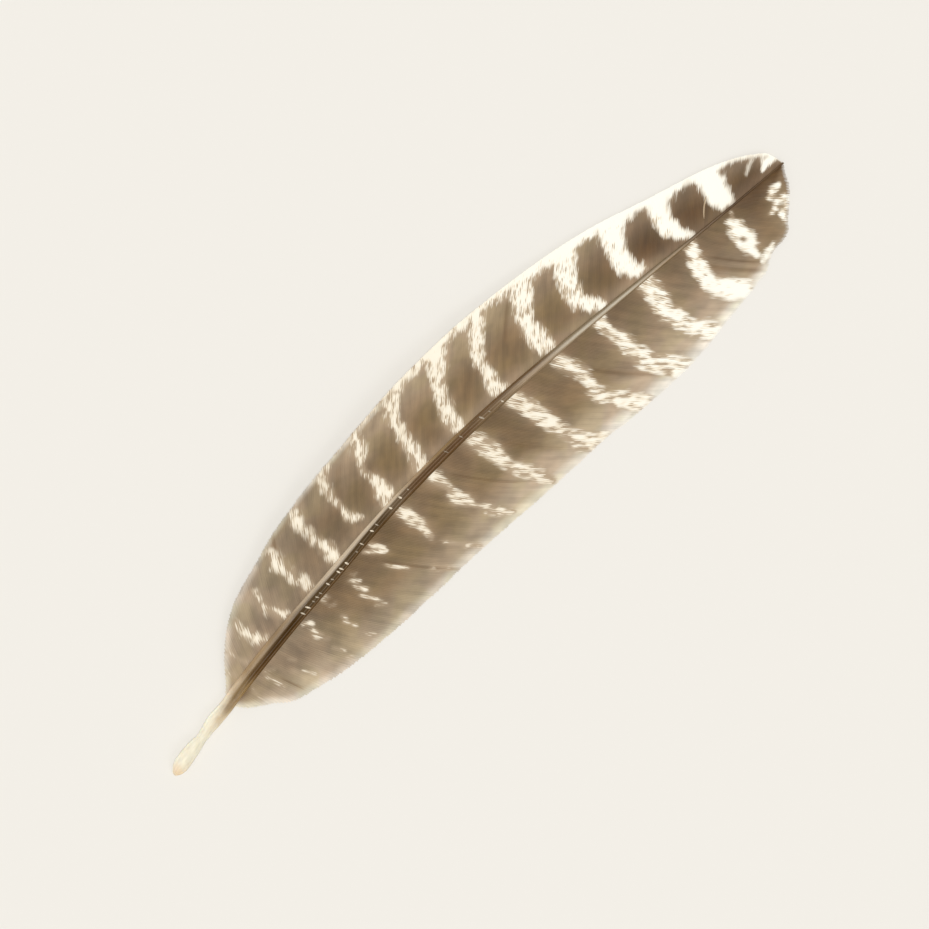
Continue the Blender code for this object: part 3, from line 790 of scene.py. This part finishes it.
def shaft_tones(x, across, up):
    """The shaft's colour: a cream quill, then three bands seen from above that hold painted light and
    shade, and a plain underside.
    """
    upper, lower = curve(UPPER_BORDER)(x), curve(LOWER_BORDER)(x)
    low, middle, high = (blend(x, band, SHAFT_LIGHT) for band in (LOWER_BAND, MIDDLE_BAND, UPPER_BAND))
    softness = curve(BAND_SOFTNESS)(x)
    seen = mix(low, middle, ramp((across - lower) / softness, -1, 1))
    seen = mix(seen, high, ramp((across - upper) / softness, -1, 1))
    rim = curve(UPPER_RIM)(x) * ramp(across, 0.5, 1.0) + curve(LOWER_RIM)(x) * ramp(-across, 0.6, 1.0)
    seen = np.minimum(seen * (1 + rim)[..., None], 0.96)
    return mix(blend(x, UNDERSIDE, SHAFT_LIGHT), seen, ramp(up, 0.3, 0.55))


def make_shaft(material):
    """Quill and shaft as one closed loft."""
    grown, circle = smooth_section()
    near_tip = np.array([0, 0.12, 0.3, 0.6, 1.0, 1.5, 2.1, 2.8])
    x = np.concatenate([near_tip, np.linspace(3.6, LENGTH, SHAFT_RINGS - len(near_tip))])
    share = roundness(x)[:, None, None]
    section = grown[None] * (1 - share) + circle[None] * share
    across, up = section[..., 0], section[..., 1]
    points = shaft_surface(x[:, None], across, up)
    ring_x = x[:, None] + 0 * up
    attributes = {"tone": shaft_tones(ring_x, across, up), "x": ring_x, "across": across}
    shaft = build_tubes("shaft", points[None], attributes, material, 1)
    shaft.data.set_sharp_from_angle(angle=math.radians(70))
    return shaft


# Pale flecks in the groove: (x, y from the shaft's line, length, width, how pale)
PALE_FLECKS = [
    (47.5, -0.58, 1.25, 0.42, 0.75), (49.3, -0.53, 1.4, 0.45, 1), (51.2, -0.6, 0.75, 0.32, 0.4),
    (52.5, -0.6, 0.95, 0.38, 0.65), (53.7, -0.6, 0.85, 0.32, 0.45), (56.4, -0.46, 1, 0.45, 0.8),
    (57.9, -0.55, 0.8, 0.38, 0.4), (60.1, -0.51, 1, 0.45, 1), (61.1, -0.55, 1.2, 0.45, 0.9),
    (62.9, -0.69, 1, 0.55, 1), (66.4, -0.72, 0.6, 0.4, 0.45), (68.5, -0.44, 1.05, 0.38, 0.7),
    (72.3, -0.23, 0.95, 0.45, 0.95), (74.1, -0.1, 0.95, 0.32, 0.5), (79.1, 0.08, 0.9, 0.55, 0.9),
    (82.4, 0.1, 0.95, 0.5, 0.95), (85, 0.1, 0.6, 0.35, 0.4), (97.4, -0.03, 1.3, 0.25, 0.35),
    (102.3, 0.08, 1, 0.3, 0.4), (108.8, -0.03, 1.35, 0.5, 0.45), (111.1, -0.16, 0.6, 0.35, 0.35),
    (114.9, -0.44, 0.75, 0.45, 0.75),
]
FLECK_SLANT, SLANT_SPREAD = -62.0, 10.0  # degrees from the shaft, and how far a fleck may differ
FLECK_HEIGHT = 0.10
FLECK_CREAM = (228, 214, 190)


def make_pale_flecks(material):
    """Small flattened slivers that lie in the groove."""
    along, turn = tube_grid(FLECK_RINGS, SLIVER_AROUND)
    t = math.pi * (0.06 + 0.88 * along)
    points = []
    for x, off, length, width, _ in PALE_FLECKS:
        slant = math.radians(FLECK_SLANT + RNG.uniform(-SLANT_SPREAD, SLANT_SPREAD))
        middle = np.array([x, shaft_line(x) + off])
        ahead = np.array([math.cos(slant), math.sin(slant)])
        aside = np.array([-ahead[1], ahead[0]])
        flat = (middle - ahead * (length / 2 * np.cos(t))[..., None]
                + aside * (width / 2 * np.sin(t) * np.cos(turn))[..., None])
        share = (flat[..., 1] - shaft_line(flat[..., 0])) / shaft_half(flat[..., 0])
        bed = shaft_surface(flat[..., 0], share, 1.0)[..., 2]
        points.append(with_height(flat, bed + FLECK_HEIGHT * np.sin(t) * np.sin(turn)))
    pale = np.repeat([fleck[-1] for fleck in PALE_FLECKS], t.size)
    return build_tubes("pale_flecks", np.array(points), {"pale": pale}, material, -1)


class Nodes:
    """Short calls for building a material's node tree."""

    def __init__(self, name):
        self.material = bpy.data.materials.new(name)
        self.material.use_nodes = True
        self.tree = self.material.node_tree
        self.shader = self.tree.nodes["Principled BSDF"]
        self.output = self.tree.nodes["Material Output"]

    def link(self, source, socket):
        """Link an output to a socket, or set the socket to a value."""
        if hasattr(source, "is_linked"):
            self.tree.links.new(source, socket)
        else:
            socket.default_value = source

    def give(self, key, value):
        """Link or set one input of the shader."""
        self.link(value, self.shader.inputs[key])

    def add(self, kind, inputs, output=0, **settings):
        """One output of a new node. inputs are outputs of others or values, by number or name."""
        node = self.tree.nodes.new("ShaderNode" + kind)
        for key, value in settings.items():
            setattr(node, key, value)
        for key, value in inputs.items():
            self.link(value, node.inputs[key])
        return node.outputs[output]

    def attribute(self, name, output="Fac"):
        return self.add("Attribute", {}, output, attribute_name=name)

    def math(self, operation, a, b=0.0, c=0.0):
        return self.add("Math", {0: a, 1: b, 2: c}, operation=operation)

    def scaled(self, value, factor, more=0.0):
        """A value times a factor, plus more."""
        return self.math("MULTIPLY_ADD", value, factor, more)

    def centred(self, value, spread):
        """A noise from 0 to 1, stretched to a spread around 0."""
        return self.scaled(value, spread, -spread / 2)

    def vector(self, x, y, z=0.0):
        return self.add("CombineXYZ", {0: x, 1: y, 2: z})

    def noise(self, place, detail=2.0, distortion=0.0, scale=1.0):
        inputs = {"Vector": place, "Scale": scale, "Detail": detail, "Distortion": distortion}
        return self.add("TexNoise", inputs, "Fac")

    def grain(self, *parts, **settings):
        """Noise over two or three coordinates, each a value or a pair of a value and its factor."""
        place = [self.scaled(*part) if isinstance(part, tuple) else part for part in parts]
        return self.noise(self.vector(*place), **settings)

    def ramp(self, value, low, high, to_low=0.0, to_high=1.0):
        inputs = dict(enumerate((value, low, high, to_low, to_high)))
        return self.add("MapRange", inputs, interpolation_type="SMOOTHSTEP")

    def mix(self, share, a, b, blend="MIX"):
        return self.add("Mix", {0: share, 6: a, 7: b}, 2, data_type="RGBA", blend_type=blend)

    def shaded(self, colour, level):
        """A colour made brighter or darker by a level around 1."""
        return self.mix(1.0, colour, self.vector(level, level, level), "MULTIPLY")

    def bump(self, height, strength, distance):
        inputs = {"Height": height, "Strength": strength, "Distance": distance}
        self.give("Normal", self.add("Bump", inputs))


def solid(colour):
    return (*paint(colour), 1.0)


VANE_SEE_THROUGH = 0.18  # share of light that passes through the vane
# How far each pattern moves the brightness of the ground, either way
BARB_CONTRAST, BLOTCH_CONTRAST = 0.035, 0.12
MOTTLE_BESIDE_QUILL, MOTTLE_CONTRAST = 0.14, 0.11
FRAY_LENGTH = 2.8  # millimetres that the bars' ends vary by
STREAK_CONTRAST = 7.0
# Depth in metres of the bumps of the barbules, and of the shaft and the flecks
FINE_RELIEF, COARSE_RELIEF = 0.00004, 0.00005


def ground_colour(n, barb, run, x):
    """The dark ground, which varies from barb to barb and in soft blotches."""
    single = n.grain((barb, 0.9), (run, 0.07), 3.0, detail=1.0)
    blotch = n.grain((x, 0.16), (run, 0.16), 5.0)
    hue = n.grain((x, 0.13), (run, 0.13), 9.0, detail=1.0)
    mottle = n.grain((barb, 0.24), (run, 0.13), 7.0, detail=1.5)
    level = n.math("ADD", n.ramp(single, 0.25, 0.75, 1 - BARB_CONTRAST, 1 + BARB_CONTRAST),
                   n.ramp(blotch, 0.3, 0.7, -BLOTCH_CONTRAST, BLOTCH_CONTRAST))
    mottled = n.ramp(x, 35.0, 75.0, MOTTLE_BESIDE_QUILL, MOTTLE_CONTRAST)
    level = n.scaled(n.ramp(mottle, 0.3, 0.7, -1.0, 1.0), mottled, level)
    ground = n.shaded(n.attribute("tone", "Color"), level)
    # Painted shade where barbs part
    ground = n.mix(n.attribute("shade"), ground, PARTING_SHADE, "MULTIPLY")
    ground = n.mix(n.ramp(hue, 0.48, 0.62), ground, OLIVE_TINT, "MULTIPLY")
    return n.mix(n.ramp(hue, 0.50, 0.36), ground, ROSE_TINT, "MULTIPLY")


def barred_colour(n, ground, x):
    """Pale bars over the ground. They end at a different place on each barb, and streaks darken them."""
    across, along = n.attribute("weave_across"), n.attribute("weave_along")
    frayed = n.grain(across, (along, 0.26), (along, 0.07), detail=1.5, distortion=0.25)
    inside = n.math("ADD", n.attribute("pale"), n.centred(frayed, FRAY_LENGTH))
    softness = n.ramp(x, 46.0, 84.0, 0.9, 0.0)
    cover = n.ramp(inside, n.scaled(softness, -0.6, -0.8), n.math("ADD", softness, 0.95))
    cover = n.math("MULTIPLY", cover, n.scaled(n.attribute("strength"), 0.7, 0.3))
    streaks = n.grain((across, 1.3), (along, 0.34), (along, 0.11), detail=1.0, distortion=0.25)
    bright = n.math("ADD", n.centred(streaks, STREAK_CONTRAST), n.attribute("solidity"))
    bright = n.math("ADD", bright, n.scaled(n.math("MINIMUM", inside, 1.5), 0.55, -0.45))
    colour = n.mix(cover, ground, solid(BAR_TAN))
    colour = n.mix(n.math("MULTIPLY", n.ramp(bright, -0.5, 0.3), cover), colour, solid(BAR_CREAM))
    chalk = n.mix(n.ramp(x, 95.0, 170.0), solid(WARM_CHALK), solid(CHALK))
    return n.mix(n.math("MULTIPLY", n.ramp(bright, 0.1, 1.0), cover), colour, chalk)


def vane_material():
    n = Nodes("vane_keratin")
    barb, run, x = n.attribute("barb"), n.attribute("run"), n.attribute("x")
    colour = barred_colour(n, ground_colour(n, barb, run, x), x)
    n.give("Base Color", colour)
    # Barbules, finer than the mesh, cross each barb aslant
    barbules = n.noise(n.vector(n.scaled(barb, 3.0), n.scaled(run, 9.0, n.scaled(barb, 4.0))), detail=1.0)
    n.bump(barbules, 0.25, FINE_RELIEF)
    n.give("Roughness", n.ramp(barbules, 0.3, 0.7, 0.55, 0.70))
    n.give("Specular IOR Level", 0.3)
    n.give("Sheen Weight", 0.08)
    n.give("Sheen Roughness", 0.4)
    through = n.add("BsdfTranslucent", {"Color": colour})
    both = n.add("MixShader", {0: VANE_SEE_THROUGH, 1: n.shader.outputs[0], 2: through})
    n.link(both, n.output.inputs["Surface"])
    return n.material


def shaft_material():
    n = Nodes("shaft_keratin")
    x, across = n.attribute("x"), n.attribute("across")
    shades = n.grain((x, 0.4), (across, 3.0), detail=1.0)
    n.give("Base Color", n.shaded(n.attribute("tone", "Color"), n.ramp(shades, 0.3, 0.7, 0.95, 1.05)))
    # Fine lengthwise ridges and specks of the horn
    ridges = n.grain((x, 0.5), (across, 14.0), 2.0)
    n.bump(ridges, 0.3, COARSE_RELIEF)
    n.give("Roughness", n.ramp(ridges, 0.3, 0.7, 0.42, 0.58))
    n.give("Specular IOR Level", 0.2)
    n.give("Subsurface Weight", n.ramp(x, 14.0, 32.0, 1.0, 0.12))
    n.give("Subsurface Radius", (1.0, 0.9, 0.75))
    n.give("Subsurface Scale", 0.002)
    return n.material


def fleck_material():
    n = Nodes("pale_fleck")
    cells = n.noise(n.add("TexCoord", {}, "Object"), scale=9000.0)
    colour = n.mix(n.attribute("pale"), solid(GROOVE_DARK), solid(FLECK_CREAM))
    n.give("Base Color", n.shaded(colour, n.ramp(cells, 0.3, 0.7, 0.9, 1.06)))
    n.bump(cells, 0.4, COARSE_RELIEF)
    n.give("Roughness", n.ramp(cells, 0.3, 0.7, 0.55, 0.75))
    return n.material


FLOOR_CARD = (243, 239, 231)
FLOOR_SIZE, FLOOR_DROP = 4.0, 0.00002  # metres


def make_floor():
    bpy.ops.mesh.primitive_plane_add(size=FLOOR_SIZE, location=(0, 0, -FLOOR_DROP))
    floor = bpy.context.object
    floor.name = "floor"
    n = Nodes("pale_card")
    n.give("Base Color", (*(linear(FLOOR_CARD) / FLOOR_LIGHT), 1))
    n.give("Roughness", 0.9)
    n.give("Specular IOR Level", 0.1)
    floor.data.materials.append(n.material)


# The photo: its width in millimetres, the plan point at its middle and the camera's turn in degrees
PHOTO_WIDTH_MM = 215.05
PHOTO_MIDDLE = (98.34, 3.60)
PHOTO_TURN = -45.0
PHOTO_HEIGHT = 2.0  # millimetres over the floor at which that width holds
LENS, SENSOR = 300.0, 36.0
# The lights: share of the floor's light, height over the horizon and width, in degrees
KEY_LIGHT = (0.74, 89.5, 5.0)
SIDE_LIGHT = (0.055, 55.0, 30.0)


def make_camera():
    data = bpy.data.cameras.new("camera")
    data.lens, data.sensor_width = LENS, SENSOR
    data.clip_start, data.clip_end = 0.01, 10
    camera = add_object("camera", data)
    away = PHOTO_WIDTH_MM * LENS / SENSOR + PHOTO_HEIGHT
    aside = [(photo - centre) * MM for photo, centre in zip(PHOTO_MIDDLE, PLAN_CENTRE)]
    camera.location = (*aside, away * MM)
    camera.rotation_euler = (0, 0, math.radians(PHOTO_TURN))
    bpy.context.scene.camera = camera


def make_sun(name, share, elevation, spread):
    """A distant light over the lower vane's side that gives its share of the floor's light."""
    data = bpy.data.lights.new(name, "SUN")
    data.angle = math.radians(spread)
    rise = math.radians(elevation)
    data.energy = share * FLOOR_LIGHT * math.pi / math.sin(rise)
    add_object(name, data).rotation_euler = (math.pi / 2 - rise, 0, 0)


def make_lights():
    """A key light from overhead and a broad faint one from one side, in a bright pale room."""
    make_sun("key", *KEY_LIGHT)
    make_sun("side", *SIDE_LIGHT)
    world = bpy.data.worlds.new("pale_room")
    world.use_nodes = True
    background = world.node_tree.nodes["Background"]
    background.inputs["Color"].default_value = (1, 1, 1, 1)
    background.inputs["Strength"].default_value = (1 - KEY_LIGHT[0] - SIDE_LIGHT[0]) * FLOOR_LIGHT
    bpy.context.scene.world = world
    bpy.context.scene.view_settings.view_transform = "Standard"


def main():
    vane = vane_material()
    shaft = make_shaft(shaft_material())
    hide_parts("feather")
    upper = make_vane("upper_vane", UPPER, vane)
    lower = make_vane("lower_vane", LOWER, vane)
    stray = make_stray_barb(vane)
    flecks = make_pale_flecks(fleck_material())
    slots = ((shaft, "shaft"), (flecks, "shaft"), (upper, "vane"), (lower, "vane"), (stray, "vane"))
    for piece, slot in slots:
        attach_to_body(piece, "root")
    make_floor()
    make_lights()
    make_camera()


main()
